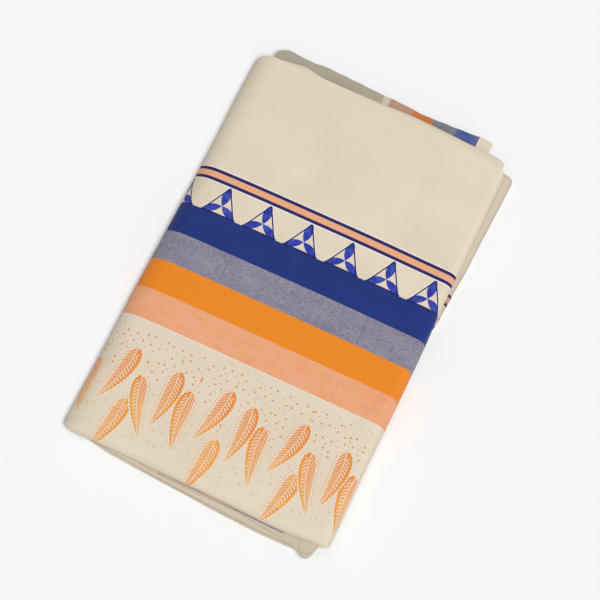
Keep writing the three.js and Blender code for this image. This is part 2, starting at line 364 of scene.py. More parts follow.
# %% [markdown]
# The traditional row of triangles stands on the blue band. Each has thin slanted sides, a dark
# foot, and three pointed petals that run from its corners to its middle. A petal is a strip whose
# width rises and falls along its length.

# %% The row of triangles
triangle_gap = 46.25
triangle_height = 33.0
triangle_half_base = 18.2
triangle_first = -10.6
triangle_middle = 10.4
row_foot = 44.2


def petal(aside, up, tip_aside, tip_up, fullness):
    run_aside = tip_aside
    run_up = tip_up - triangle_middle
    length = math.hypot(run_aside, run_up)
    offset = up - triangle_middle
    reach = (aside * run_aside + offset * run_up) / (length * length)
    off_line = (aside * run_up - offset * run_aside).size() / length
    width = reach * (reach * -1.0 + 1.0) * (4 * fullness)
    return (off_line - width).under(0.0) * reach.between(0.0, 1.0)


def triangle_row(across, along):
    count = (across - triangle_first) / triangle_gap + 0.5
    aside = (count.part_left() - 0.5) * triangle_gap
    up = along - row_foot
    half = (up / -triangle_height + 1.0) * triangle_half_base
    inside = (half - aside.size()) * math.cos(math.atan(triangle_half_base / triangle_height))
    in_height = up.between(0.0, triangle_height)
    side_line = inside.between(0.0, 1.4) * in_height
    halo = inside.between(-1.0, 0.0) * in_height
    foot = aside.size().under(triangle_half_base + 0.8) * up.between(-0.8, 1.4)
    top_petal = petal(aside, up, 0.0, triangle_height, 4.5)
    side_petals = petal(aside.size(), up, triangle_half_base, 0.6, 4.0)
    petals = top_petal.or_else(side_petals) * in_height
    return side_line.or_else(foot), halo, petals


# %% [markdown]
# Now the whole cloth, from its printed end to the plain field and the long border. The bands at
# the end run across the cloth, so they depend on the distance along it alone. In two of them the
# weft is one colour and the warp another, which gives a heathered look: noise drawn out along the
# weft, with long streaks in the peach one. The long border's bands run the other way, and show
# only past the end.

# %% Bands across the end
print_end = -87.4
peach_end = -55.2
orange_end = -22.1
grey_end = 11.1
stripe_start = 77.2


def end_bands(across, along, colour):
    heather = cloudy(across, along, 5.0, 0.7) * 0.6 + cloudy(across, along, 1.3, 0.8) * 0.6
    heather = (heather - 0.36) * 2.1
    streaks = (cloudy(across, along, 26.0, 0.7) - 0.52) * 1.5
    patches = cloudy(across, along, 34.0, 14.0)
    slubs = dots(across, along, 30.0, 5.0, 0.05).or_else(dots(across, along, 11.0, 8.0, 0.04))
    peach_tone = lay_over(peach, (heather + patches - 0.28) * 0.75, peach_pale)
    peach_tone = lay_over(peach_tone, streaks.or_else(slubs * 0.55), orange_deep)
    grey_tone = lay_over(grey_blue_dark, heather + (patches - 0.5) * 0.45, grey_blue_light)
    orange_tone = lay_over(orange, cloudy(across, along, 1.0, 6.0) * 0.5, orange_deep)
    rib = (across * (2 * math.pi / 1.7)).math("SINE") * 0.16 + 0.2
    blue_tone = lay_over(deep_blue, rib + (patches - 0.5) * 0.5, deep_blue_light)
    colour = lay_over(colour, along.between(print_end - 1.0, print_end), cream_pale)
    colour = lay_over(colour, along.between(print_end, peach_end), peach_tone)
    colour = lay_over(colour, along.between(peach_end, orange_end), orange_tone)
    colour = lay_over(colour, along.between(orange_end, grey_end), grey_tone)
    return lay_over(colour, along.between(grey_end, row_foot), blue_tone)


def end_lines(across, along, colour):
    line, halo, petals = triangle_row(across, along)
    brush = cloudy(across, along, 5.0, 7.0, 3.0)
    petal_tone = lay_over(petal_blue, (brush - 0.42) * 3.0, petal_light)
    colour = lay_over(colour, halo * 0.8, print_white)
    colour = lay_over(colour, petals, petal_tone)
    colour = lay_over(colour, line, navy)
    stripes = along - stripe_start
    colour = lay_over(colour, stripes.between(-1.5, 14.4) * 0.9, print_white)
    colour = lay_over(colour, stripes.between(-0.2, 13.1), navy)
    return lay_over(colour, stripes.between(3.2, 9.7), peach_line)


# %% [markdown]
# A weaver's slips show too: here and there a doubled warp thread makes a short dark line through
# one band. The long border has a pale strip, then peach, orange, grey-blue and blue, and a cream
# selvedge. All but the selvedge is painted duller there: painted shade, for the pack's shadow over
# that low fold.

# %% Doubled threads and the long border
doubled_threads = (
    {"across": -70.9, "low": -22.1, "high": 9.0, "strength": 0.55},
    {"across": 83.6, "low": -22.1, "high": 8.0, "strength": 0.7},
    {"across": 85.2, "low": -80.0, "high": -60.0, "strength": 0.22},
)
# The border's cream, pale, peach, orange and grey-blue carry painted shade for the pack's shadow.
long_border = (
    {"from": -400.0, "to": -5.8, "colour": painted_shade_cream},
    {"from": -5.8, "to": 1.8, "colour": painted_shade_pale},
    {"from": 1.8, "to": 28.0, "colour": painted_shade_peach},
    {"from": 28.0, "to": 51.4, "colour": painted_shade_orange},
    {"from": 51.4, "to": 76.6, "colour": painted_shade_grey_blue},
    {"from": 76.6, "to": 102.2, "colour": border_blue},
)


def doubled_thread_marks(across, along, colour):
    for thread in doubled_threads:
        line = (across - thread["across"]).size().under(0.45)
        line = line * along.between(thread["low"], thread["high"]) * thread["strength"]
        colour = lay_over(colour, line, grey_blue_dark)
    return colour


def border_bands(across, along, colour):
    past_end = along.between(300.0, 480.0)
    worn = cloudy(across, along, 6.0, 0.8) * 0.45 + cloudy(across, along, 16.0, 12.0) * 0.55
    for band in long_border:
        mask = across.between(band["from"], band["to"]) * past_end * (worn * -0.5 + 1.2)
        colour = lay_over(colour, mask, band["colour"])
    return colour


# %% [markdown]
# The print lies over the cream end: three rows of leaves, a scatter of round dots above them, and
# short dashes between them where no leaf is near. Leaves of the first two rows stand in pairs that
# spread towards their tips, with their heavy halves facing each other.

# %% The print
leaf_rows = (
    {
        "head": [-113.0, -64.0, -7.0, 19.0, 75.0, 123.0],
        "along": [-118.0, -123.0, -119.0, -125.0, -118.0, -126.0],
        "tilt": [-15.0, -4.0, -15.0, -3.0, -16.0, -3.0],
        "mirror": 1.0,
        "lean": -1.5,
    },
    {
        "head": [-146.0, -96.0, -43.0, 39.0, 92.0, 142.0],
        "along": [-139.0, -142.0, -137.0, -139.0, -142.0, -145.0],
        "tilt": [6.0, 22.0, 6.0, 9.0, 20.0, 6.0],
        "mirror": -1.0,
        "lean": 8.0,
    },
    {
        "head": [-101.0, -1.0, 87.0],
        "along": [-170.0, -171.0, -168.0],
        "tilt": [-13.0, -9.0, -14.0],
        "mirror": 1.0,
        "lean": -4.0,
    },
)


def printed_leaves(across, along, colour):
    upper, middle, lower = [leaf_row(across, along, row) for row in leaf_rows]
    near_high = upper["near"].or_else(middle["near"])
    ink = upper["ink"].or_else(middle["ink"].without(upper["margin"]))
    covered = upper["margin"].or_else(middle["margin"])
    ink = ink.or_else(lower["ink"].without(covered))
    margin = covered.or_else(lower["margin"].without(near_high))
    tip = upper["tip"].or_else(middle["tip"]).or_else(lower["tip"])
    near = near_high.or_else(lower["near"])
    large_dots = dots(across, along, 10.4, 10.4, 0.1) * along.between(-150.0, -98.0)
    small_dots = dots(across + 5.2, along + 5.2, 10.4, 10.4, 0.06) * along.between(-160.0, -96.0)
    dashes = dots(across, along, 8.0, 13.0, 0.07) * along.between(-206.0, -150.0)
    spots = large_dots.or_else(small_dots).or_else(dashes).without(near)
    printed = along.under(print_end - 4.0)
    tone = lay_over(print_orange, tip, print_yellow)
    colour = lay_over(colour, margin * printed * 0.45, cream_pale)
    colour = lay_over(colour, ink * printed * 0.97, tone)
    return lay_over(colour, spots * printed * 0.9, print_faint)


# %% [markdown]
# The cloth itself is a plain weave of slightly uneven handloom cotton. Its cream is a little
# warmer and paler in patches, with tiny brown husks left in the yarn. Its surface is fine threads
# over and under each other and now and then a thicker one. All of it reads the cloth's own map, so
# the threads follow each roll and fold.

# %% The cotton's material
def cream_ground(across, along):
    patch = cloudy(across, along, 70.0, 55.0, 3.0)
    threads = cloudy(across, along, 0.5, 14.0) * 0.5 + cloudy(across, along, 14.0, 0.5) * 0.5
    colour = lay_over(cream, (patch - 0.35) * 1.3, cream_warm)
    colour = lay_over(colour, (threads - 0.48) * 2.2, cream_pale)
    husks = dots(across, along, 66.0, 58.0, 0.009)
    return lay_over(colour, husks * 0.3, husk_brown)


def weave_height(across, along):
    warp = (across * (2 * math.pi / 0.62)).math("SINE")
    weft = (along * (2 * math.pi / 0.62)).math("SINE")
    slubs = cloudy(across, along, 26.0, 0.7, 1.0) + cloudy(across, along, 0.7, 26.0, 1.0)
    return warp * weft * 0.25 + slubs * 1.1


def cotton(name, seam_print=False, painted_shade_share=0.0):
    material = bpy.data.materials.new(name)
    material.use_nodes = True
    tree = material.node_tree
    shader = tree.nodes["Principled BSDF"]
    cloth_map = tree.nodes.new("ShaderNodeUVMap")
    cloth_map.uv_map = "cloth"
    parts = tree.nodes.new("ShaderNodeSeparateXYZ")
    tree.links.new(cloth_map.outputs[0], parts.inputs[0])
    across = Distance(tree, parts.outputs[0]) * 1000.0
    along = Distance(tree, parts.outputs[1]) * 1000.0
    colour = cream_ground(across, along)
    colour = end_bands(across, along, colour)
    colour = end_lines(across, along, colour)
    colour = doubled_thread_marks(across, along, colour)
    colour = printed_leaves(across, along, colour)
    colour = border_bands(across, along, colour)
    if seam_print:
        colour = printed_seam(across, along, colour)
    # Painted shade: the colour is mixed towards grey by the given share, for plies lying deeper.
    if painted_shade_share:
        colour = lay_over(colour, across * 0.0 + painted_shade_share, painted_shade_tint)
    tree.links.new(colour, shader.inputs["Base Color"])
    shader.inputs["Roughness"].default_value = 0.88
    shader.inputs["Specular IOR Level"].default_value = 0.2
    shader.inputs["Sheen Weight"].default_value = 0.08
    shader.inputs["Sheen Roughness"].default_value = 0.5
    bump = tree.nodes.new("ShaderNodeBump")
    bump.inputs["Strength"].default_value = 0.35
    bump.inputs["Distance"].default_value = 0.00012
    tree.links.new(weave_height(across, along).socket, bump.inputs["Height"])
    tree.links.new(bump.outputs[0], shader.inputs["Normal"])
    print(name, "has", len(tree.nodes), "nodes")
    return material


# %% [markdown]
# Under the top cloth's front edge lie other plies of the same printed end, and a little of their
# ink shows along the seam: orange first, then the dark blue of a band. The plies that lie deeper
# in the pack are painted a little greyer: painted shade, for the light that reaches them less.

# %% Ink on the seam
seam_place = 615.4


def printed_seam(across, along, colour):
    wander = (cloudy(across, along, 22.0, 22.0) - 0.5) * 1.4
    line = (along + wander - across * 0.018 - seam_place).size()
    patchy = cloudy(across, along, 16.0, 4.0) * 1.2
    orange_part = line.under(0.6) * across.between(-40.0, 43.0) * patchy
    blue_part = line.under(0.55) * across.between(43.0, 100.0)
    colour = lay_over(colour, orange_part, print_brown)
    return lay_over(colour, blue_part * 0.8, grey_blue_dark)


saree_cotton = cotton("saree_cotton")
# The numbers below are shares of painted shade for plies lying deeper in the pack.
front_cotton = cotton("front_cotton", seam_print=True, painted_shade_share=0.3)
hidden_cotton = cotton("hidden_cotton", painted_shade_share=0.22)
second_cotton = cotton("second_cotton", painted_shade_share=0.07)

# %% [markdown]
# Each stretch of cloth is a sheet, and a sheet is a grid of points worked out from the pack's
# sizes. The grid becomes a mesh with its own cloth map, which holds the distances across and
# along the flat cloth. A wall is then given inwards, and its cut edges are rounded.

# %% From a grid of points to a cloth
def make_active(piece):
    bpy.ops.object.select_all(action="DESELECT")
    piece.select_set(True)
    bpy.context.view_layer.objects.active = piece


def piece_from_faces(name, points, faces, cloth_places, material):
    places = points.reshape(-1, 3) + np.array([shift_x, shift_y, 0.0])
    mesh = bpy.data.meshes.new(name)
    mesh.from_pydata((places / 1000).tolist(), [], faces)
    mesh.uv_layers.new(name="cloth").data.foreach_set("uv", (cloth_places / 1000).ravel())
    piece = bpy.data.objects.new(name, mesh)
    bpy.context.scene.collection.objects.link(piece)
    piece.data.materials.append(material)
    make_active(piece)
    return piece


def cloth_from_grid(name, points, cloth_across, cloth_along, wall, material):
    rows, columns = points.shape[:2]
    number = np.arange(rows * columns).reshape(rows, columns)
    corners = (number[:-1, :-1], number[:-1, 1:], number[1:, 1:], number[1:, :-1])
    faces = np.stack(corners, axis=-1).reshape(-1, 4)
    flat = np.stack(np.broadcast_arrays(cloth_across, cloth_along), axis=-1)
    cloth_places = flat.reshape(-1, 2)[faces.ravel()]
    piece = piece_from_faces(name, points, faces.tolist(), cloth_places, material)
    give_wall(piece, wall)
    return piece


def give_wall(piece, wall):
    bpy.ops.object.modifier_add(type="SOLIDIFY")
    solidify = piece.modifiers[-1]
    solidify.thickness = wall / 1000
    solidify.offset = -1
    bpy.ops.object.modifier_apply(modifier=solidify.name)
    bpy.ops.object.modifier_add(type="BEVEL")
    bevel = piece.modifiers[-1]
    bevel.width = 0.35 / 1000
    bevel.segments = 2
    bevel.limit_method = "ANGLE"
    bevel.angle_limit = math.radians(50)
    bpy.ops.object.modifier_apply(modifier=bevel.name)
    bpy.ops.object.shade_smooth()
    print(piece.name, "has", len(piece.data.polygons), "faces")


# %% [markdown]
# These are the pack's sizes, with the radius of the roll over each side. The pack is highest in
# its middle, where the plies lie loosest, and its edges were measured at a few places. Between
# two of those places an edge runs straight, and it bends softly at each. The two helpers give
# the pack's height and an edge at any place.

# %% Heights and edges
pack_width = 290
pack_length = 447
pack_height = 30
left_roll = 17
left_turn_width = 24
right_roll = 9
front_roll = 10
lowest_hem = 5.4


def edge_at(table, key, at, column, soft=4.0):
    asides = soft * np.array([-1, -0.6, -0.2, 0.2, 0.6, 1])
    near = [np.interp(at + aside, table[key], table[column]) for aside in asides]
    return sum(near) / len(near)


def crown(x, y):
    across = 3.5 * (2 * x / pack_width) ** 2
    along = 2 * (2 * y / pack_length) ** 2
    left = 2.2 * (np.maximum(-x - 92, 0) / 55) ** 2
    ripple = 0.5 * np.sin(x / 31 + y / 83) * np.cos(y / 57 - x / 140)
    return pack_height - across - along - left + ripple


face_left_edge = {"y": [-221, -60, 60, 228], "x": [-149.8, -147.8, -146, -144.6]}
face_right_edge = {"y": [-221, 0, 225], "x": [146, 144.8, 143.4]}
face_right_end = {"y": [-221, 0, 24, 38, 62, 225], "z": [6, 6, 8, 13.6, 15.8, 15.8]}
face_back_edge = {
    "x": [-147, -142, -134, -122, -44, 41, 65, 98, 139, 143.5, 146],
    "y": [221, 225.5, 228, 227, 226, 224.3, 222.5, 220.3, 216.9, 213.6, 208],
}
face_front_edge = {
    "x": [-150, -93, -5, 38, 76, 106, 146],
    "y": [-220.4, -221.2, -222.4, -222.9, -224, -223.2, -221],
}
face_front_end = {
    "x": [-145, -120, -96, -60, 0, 110, 146],
    "z": [5.4, 8, 12.4, 14.8, 16.8, 17.2, 15],
}
print("height in the middle:", round(float(crown(0.0, 0.0)), 2))

# %% [markdown]
# A stretch of cloth lies flat on the pack, turns down over an edge and may hang a little below.
# Across and along, a row of points is therefore a row of stations: on the flat, round the turn,
# or on the part that hangs. This gives where each station is, and what share of the turned cloth
# it has passed. A turn may be spread wider than it is high, as on the pack's soft left side.

# %% Stations over a rolled edge
def stations(start_turns, flat_shares, end_turns, hangs=4):
    rows = []
    if start_turns:
        rows += [(-1, 1.0, 1 - i / hangs) for i in range(hangs)]
        rows += [(-1, 1 - i / start_turns, 0.0) for i in range(start_turns)]
    rows += [(0, share, 0.0) for share in flat_shares]
    if end_turns:
        rows += [(1, (i + 1) / end_turns, 0.0) for i in range(end_turns)]
        rows += [(1, 1.0, (i + 1) / hangs) for i in range(hangs)]
    return np.array(rows)


def roll(rows, low, high, low_radius, high_radius, low_hang, high_hang, low_spread=1.0):
    kind = rows[..., 0]
    spread = np.where(kind < 0, low_spread, 1.0)
    flat = low + (high - low) * rows[..., 1]
    radius = np.where(kind < 0, low_radius, high_radius)
    hang = np.where(kind < 0, low_hang, high_hang)
    whole = radius * math.pi / 2 + hang
    passed = np.where(kind == 0, 0.0, radius * math.pi / 2 * rows[..., 1] + hang * rows[..., 2])
    start = np.where(kind < 0, low, np.where(kind > 0, high, flat))
    return {
        "start": start,
        "cloth": start + kind * passed * (1 + (spread - 1) * 0.54),
        "share": passed / np.maximum(whole, 1e-6),
        "whole": whole,
        "radius": radius,
        "spread": spread,
        "kind": kind,
    }


# %% [markdown]
# Where two rolled edges meet, the cloth turns down round a corner. The corner is taken as one
# turn whose direction swings from the first edge to the second, a little squarer than a circle,
# so the cloth stays smooth there. Creases are then raised or sunk square to the surface.

# %% The rolled surface
def turned(edge, share, draw_in):
    length = share * edge["whole"]
    angle = np.minimum(length / np.maximum(edge["radius"], 1e-6), math.pi / 2)
    hanging = np.maximum(length - edge["radius"] * math.pi / 2, 0)
    out = edge["radius"] * edge["spread"] * np.sin(angle) - draw_in * hanging
    drop = edge["radius"] * (1 - np.cos(angle)) + hanging
    return out, drop


def rolled_points(x, y, depth, least_height, draw_in_x=0.15, draw_in_y=0.15):
    share = np.maximum(x["share"], y["share"])
    swing = np.arctan2(y["share"], x["share"])
    out_x, drop_x = turned(x, share, draw_in_x)
    out_y, drop_y = turned(y, share, draw_in_y)
    place_x = x["start"] + x["kind"] * out_x * np.cos(swing) ** 0.55
    place_y = y["start"] + y["kind"] * out_y * np.sin(swing) ** 0.55
    drop = drop_x * np.cos(swing) ** 2 + drop_y * np.sin(swing) ** 2
    height = np.maximum(crown(place_x, place_y) - depth - drop, least_height)
    return np.stack(np.broadcast_arrays(place_x, place_y, height), axis=-1)


def raise_by(points, relief):
    along_rows = np.gradient(points, axis=0)
    along_columns = np.gradient(points, axis=1)
    normals = np.cross(along_columns, along_rows)
    size = np.linalg.norm(normals, axis=-1, keepdims=True)
    return points + normals / np.maximum(size, 1e-9) * relief[..., None]


# %% [markdown]
# Creases are listed one by one, each with its own place, length, direction, depth and softness, as
# soft troughs and ridges. The back of the top cloth has fine ones along the fold, the field has
# wide soft swells, and a few slant in from the rolled sides.

# %% Creases of the top cloth
face_creases = {
    "across": [-70, 10, 92, -96, 48, 112, -10, -112, 96, -30, 60, -70, 10, -134, 134, 0, -84, 76],
    "along": [
        219, 216, 210, 210, 213, 203, 206, 180, 150, 120, 170, -160, -196, 40, -60, 196, 199, 190,
    ],
    "turn": [-1, -1.5, -4, -1, -3, -4.5, -2, 24, -38, 14, -20, 30, 4, 84, 80, -2, -1, -5],
    "length": [46, 70, 44, 30, 52, 34, 62, 44, 60, 70, 55, 60, 80, 60, 50, 90, 44, 46],
    "width": [1.5, 1.7, 1.6, 1.5, 1.4, 2.0, 1.8, 7, 9, 12, 10, 10, 6, 5, 4, 2.4, 2.0, 2.2],
    "depth": [
        -0.3, 0.3, -0.26, 0.3, -0.24, 0.28, -0.26, 0.5, 0.5, -0.4, 0.45, 0.5, 0.35, 0.5, 0.4, 0.26,
        0.24, -0.22,
    ],
}


def crease_relief(creases, across, along):
    relief = np.zeros(np.broadcast(across, along).shape)
    for i in range(len(creases["across"])):
        turn = math.radians(creases["turn"][i])
        off_x = across - creases["across"][i]
        off_y = along - creases["along"][i]
        reach = off_x * math.cos(turn) + off_y * math.sin(turn)
        aside = off_y * math.cos(turn) - off_x * math.sin(turn)
        aside = aside + 0.7 * np.sin(reach / 29 + i)
        fade = np.exp(-((reach / creases["length"][i]) ** 2) - (aside / creases["width"][i]) ** 2)
        relief = relief + creases["depth"][i] * fade
    return relief


def soft_swell(across, along, seed):
    swell = np.zeros(np.broadcast(across, along).shape)
    for i in range(6):
        turn = 1.3 * i + seed
        wave = across * math.cos(turn) + along * math.sin(turn)
        swell = swell + np.sin(wave / (13 + 6 * i) + 2.1 * i + seed) * (0.07 + 0.026 * i)
    return swell


def face_relief(across, along):
    relief = crease_relief(face_creases, across, along) + soft_swell(across, along, 0.7)
    return np.clip(relief, -0.5, 1.2)


# %% [markdown]
# The top cloth is the saree's printed end. It covers the pack, rolls over both long sides and the
# front, and ends at a fold along the back. Its left side reaches far down, because the pack is
# wrapped from there, and so does the front half of its right side. Its rows of points lie closer
# together near the back, where the fine creases are.

# %% Top cloth
least_hang = 0.4
top_columns = stations(11, np.linspace(0, 1, 112), 8)[None, :, :]
even_rows = np.linspace(0, 0.88, 110)
close_rows = np.linspace(0.88, 1, 52)[1:]
top_rows = stations(9, np.concatenate([even_rows, close_rows]), 0)[:, None, :]


def rough_across(columns, low, high, low_radius, high_radius):
    rough = roll(columns, low, high, low_radius, high_radius, 3.0, 2.0)
    share = np.sin(rough["share"] * math.pi / 2)
    return rough["start"] + rough["kind"] * share * rough["radius"]


left_spread = left_turn_width / left_roll
rough_x = rough_across(top_columns, -124.5, 136.5, left_turn_width, right_roll)
top_back = edge_at(face_back_edge, "x", rough_x, "y", soft=2.0)
top_front = edge_at(face_front_edge, "x", rough_x, "y")
front_hang = crown(rough_x, top_front) - edge_at(face_front_end, "x", rough_x, "z")
front_hang = np.maximum(front_hang - front_roll, least_hang)
top_y = roll(top_rows, top_front + front_roll, top_back, front_roll, 0.0, front_hang, 0.0)
rough_y = top_y["start"] + top_y["kind"] * top_y["share"] * front_roll
top_left = edge_at(face_left_edge, "y", rough_y, "x")
top_right = edge_at(face_right_edge, "y", rough_y, "x")
left_hang = np.maximum(crown(top_left, rough_y) - lowest_hem - left_roll, 0.3)
right_hang = crown(top_right, rough_y) - edge_at(face_right_end, "y", rough_y, "z")
right_hang = np.maximum(right_hang - right_roll, least_hang)
left_start = top_left + left_turn_width
right_start = top_right - right_roll
top_x = roll(
    top_columns, left_start, right_start, left_roll, right_roll, left_hang, right_hang,
    left_spread,
)
side_draw = np.where(top_x["kind"] > 0, -0.05, 0.15)
top_points = rolled_points(top_x, top_y, 0.0, lowest_hem, side_draw)
top_points = raise_by(top_points, face_relief(top_x["cloth"], top_y["cloth"]))
top_cloth = cloth_from_grid(
    "top_cloth", top_points, top_x["cloth"], top_y["cloth"], 1.1, saree_cotton,
)

# %% [markdown]
# The next stretch lies just under the top cloth. It looks out behind the back fold and under the
# right shoulder. It sinks where the top cloth sinks, so the two never touch. Its bands lie nearer
# the front than the top cloth's, since each fold is a little longer than the last.

# %% Second stretch
second_back_edge = {
    "x": [-118, -105, -91, -68, -44, 39, 63, 104, 136, 143],
    "y": [229.5, 231, 232.5, 228, 227.8, 229.4, 228.5, 227.2, 226.2, 224.6],
}
second_right_edge = {"y": [-221, 0, 190, 214, 226], "x": [146, 144.8, 143.6, 141.6, 139.4]}
second_left = -118.0
second_front = -203.0
second_depth = 1.75
second_right_roll = 7.3
second_back_roll = 3.3
second_right_hem = 14.2
second_back_hem = 18.5
second_back_turn = 5
second_columns = stations(0, np.linspace(0, 1, 90), 8)[None, :, :]
second_rows = stations(0, np.concatenate([even_rows, close_rows]), 7)[:, None, :]

rough_x = rough_across(second_columns, second_left, 134.8, 0.0, second_right_roll)
second_back = edge_at(second_back_edge, "x", rough_x, "y") - second_back_roll
back_hang = crown(rough_x, second_back) - second_back_hem - second_back_turn
back_hang = np.maximum(back_hang, least_hang)
second_y = roll(
    second_rows, second_front, second_back, 0.0, second_back_roll, 0.0, back_hang,
)
second_right = edge_at(second_right_edge, "y", second_y["start"] + second_y["kind"] * 3, "x")
second_hang = crown(second_right, second_y["start"]) - second_right_hem - right_roll
second_start = second_right - right_roll
second_x = roll(
    second_columns, second_left, second_start, 0.0, second_right_roll, 0.0, second_hang,
)
second_points = rolled_points(second_x, second_y, second_depth, lowest_hem)
second_relief = np.minimum(face_relief(second_x["cloth"], second_y["cloth"]), 0)
second_points = raise_by(second_points, second_relief)
second_stretch = cloth_from_grid(
    "second_stretch", second_points, second_x["cloth"], second_y["cloth"] + 18, 1.1, second_cotton,
)

# %% [markdown]
# The loose folds at the back and in front are the cloth turned back on itself: an upper leaf, a
# round nose and a lower leaf. Each is one sheet whose grid runs out along the top, round the nose
# and back underneath. The nose wanders as the photograph shows, and the leaves ripple.

# %% A loose fold
def fold_grid(x, edge, root, thickness, nose_thickness, middle_of, ripple):
    out = np.sign(edge[0, 0] - root)
    nose = edge - out * nose_thickness / 2
    leaf = np.linspace(0, 1, 30)[:, None]
    swelling = np.clip((leaf - 0.68) / 0.32, 0, 1) ** 2
    half = (thickness + (nose_thickness - thickness) * swelling) / 2
    turn = np.linspace(90, -90, 15)[1:-1, None] * math.pi / 180
    upper = root + (nose - root) * leaf
    lower = upper[::-1]
    round_y = nose + out * nose_thickness / 2 * np.cos(turn)
    y = np.concatenate([upper, round_y, lower])
    round_z = middle_of(x, nose) + nose_thickness / 2 * np.sin(turn)
    z = np.concatenate([
        middle_of(x, upper) + half + ripple(x, upper) * leaf,
        round_z + ripple(x, nose) * np.sin(turn) ** 2,
        middle_of(x, lower) - half[::-1] + ripple(x, lower) * leaf[::-1] * 0.4,
    ])
    step_y = np.diff(y, axis=0, prepend=y[:1])
    step_z = np.diff(z, axis=0, prepend=z[:1])
    cloth = np.cumsum(np.hypot(step_y, step_z), axis=0)
    points = np.stack(np.broadcast_arrays(x, y, z), axis=-1)
    return points, cloth


# %% [markdown]
# The fold at the back carries the long border's bands. It lies low, in the shadow of the pack,
# and its nose lifts and dips a little along its length.

# %% The fold at the back
core_back = 219
flap_root = 207.0
flap_edge = {
    "x": [-128, -124, -118, -90, -73, -44, -10, 12, 40, 76, 113, 118],
    "y": [238, 243.4, 245.4, 244, 245.8, 244.4, 241.8, 241.4, 239.4, 241.6, 243.4, 240.5],
}
flap_x = np.linspace(-127.5, 117.5, 200)[None, :]
flap_nose = edge_at(flap_edge, "x", flap_x, "y") + 0.2 * np.sin(flap_x / 3.1)


def flap_middle(x, y):
    out = np.maximum(y - core_back, 0) / 24.5
    return 12 + out * (1.6 * np.sin(x / 24 + 1) - 1.2)


def flap_ripple(x, y):
    return 0.24 * np.sin(x / 9.5 + y / 15) + 0.12 * np.sin(x / 4.1 - y / 6)


flap_points, flap_cloth = fold_grid(
    flap_x, flap_nose, flap_root, 2.6, np.full_like(flap_x, 3.4), flap_middle, flap_ripple,
)
back_fold = cloth_from_grid(
    "back_fold", flap_points, flap_x, 400 + flap_cloth, 0.9, saree_cotton,
)

# %% [markdown]
# The fold in front is plain. At its right end the cloth's corner is rolled in and pushes out a
# small rounded bulge.

# %% The fold in front
front_root = -208.0
front_edge = {
    "x": [-62, -50, 0, 23, 51, 78, 97, 111, 117, 120, 123, 126, 129, 131.5, 133.5, 135, 136, 137],
    "y": [
        -222, -223.6, -225.6, -224.8, -225.4, -228.5, -231, -232.7, -233.6, -234.8, -236.8, -238.6,
        -239.2, -238.2, -235.8, -231.6, -226, -218,
    ],
    "z": [
        12.4, 12.8, 13.6, 13.6, 13.5, 13.4, 13.3, 12.8, 12.2, 11.6, 11.1, 10.8, 10.7, 10.7, 10.8,
        11.0, 11.4, 12.0,
    ],
}
front_x = np.concatenate([np.linspace(-59.5, 108, 130), np.linspace(108.6, 136.8, 84)])[None, :]
front_nose = edge_at(front_edge, "x", front_x, "y", soft=1.2)
front_nose_height = edge_at(front_edge, "x", front_x, "z")
bulge = 2.2 + 4.2 * np.exp(-(((front_x - 129) / 6.0) ** 2))


def front_middle(x, y):
    share = np.clip((front_root - y) / (front_root - front_nose), 0, 1)
    return 14 + (front_nose_height - 14) * share ** 1.4


def front_ripple(x, y):
    tuck = -1.3 * np.exp(-(((x - 118 + (y + 232) * 0.35) / 1.8) ** 2))
    second_tuck = -0.9 * np.exp(-(((x - 131 - (y + 230) * 0.5) / 1.3) ** 2))
    return 0.12 * np.sin(x / 8.0 + y / 5) + 0.06 * np.sin(x / 3.3) + tuck + second_tuck


front_points, front_cloth_length = fold_grid(
    front_x, front_nose, front_root, 2.2, bulge, front_middle, front_ripple,
)
loose_front_fold = cloth_from_grid(
    "loose_front_fold",
    front_points[:, ::-1],
    front_x[:, ::-1],
    600 + front_cloth_length[:, ::-1],
    0.8,
    front_cotton,
)

# %% [markdown]
# The hidden stretches are one rounded body whose side shows every stretch as a ridge, and in each
# ridge the four plies as fine grooves. Seen from above its outline is a rectangle with round
# corners. It is described by shares of its width and length, starting at the front left.

# %% The outline of the hidden stretches
sides = (
    {"from": (0, 0), "to": (1, 0), "steps": 96},
    {"from": (1, 0), "to": (1, 1), "steps": 146},
    {"from": (1, 1), "to": (0, 1), "steps": 96},
    {"from": (0, 1), "to": (0, 0), "steps": 146},
)


def outline_shares(corner, corner_steps=8):
    inset = np.array([corner / pack_width, corner / pack_length])
    spots = []
    for number, side in enumerate(sides):
        start = np.array(side["from"])
        end = np.array(side["to"])
        way = end - start
        for i in range(side["steps"] + 1):
            spots.append(start + way * (inset + (1 - 2 * inset) * i / side["steps"]))
        centre = np.clip(end, inset, 1 - inset)
        for i in range(1, corner_steps):
            angle = math.radians(90 * (number - 1 + i / corner_steps))
            spots.append(centre + inset * np.array([math.cos(angle), math.sin(angle)]))
    return np.array(spots)


held_shares = outline_shares(18.0)
loose_shares = outline_shares(5.0)
print("points round the pack:", len(held_shares))

# %% [markdown]
# The eight lowest stretches are loose on the right, where the top cloth's hanging edge is above
# them, and the six lowest are loose in front. Elsewhere the top cloth holds them in. No stretch
# lies quite in line with the next. Each strays by its own small amount, and wanders a little.

# %% How far each stretch reaches
loose_right_edge = {
    "y": [-221, 20, 40, 70, 100, 165, 205, 219],
    "x": [142.0, 142.4, 146.2, 147.4, 149.8, 151.8, 153, 153],
}
loose_front_edge = {
    "x": [-146, -124, -94, -35, 39, 75, 112, 124, 131, 138, 146],
    "y": [-216.4, -218.4, -223.6, -228, -232.6, -234.2, -233.4, -231, -224, -218.4, -217.4],
}
loose_back_edge = {"x": [-146, 134, 144, 153], "y": [218.6, 218.6, 215.4, 214.6]}
core_left = -146
core_width = 292
hidden_stretches = 12
loose_on_right = 8
loose_in_front = 6
loose_top = 12.6
core_base = 1.7
core_depth = 3.9


def wander(place, stretch, seed):
    slow = np.sin(place / 41 + 2.3 * stretch + seed) + 0.6 * np.sin(place / 17 + 1.1 * stretch)
    return 0.3 * slow


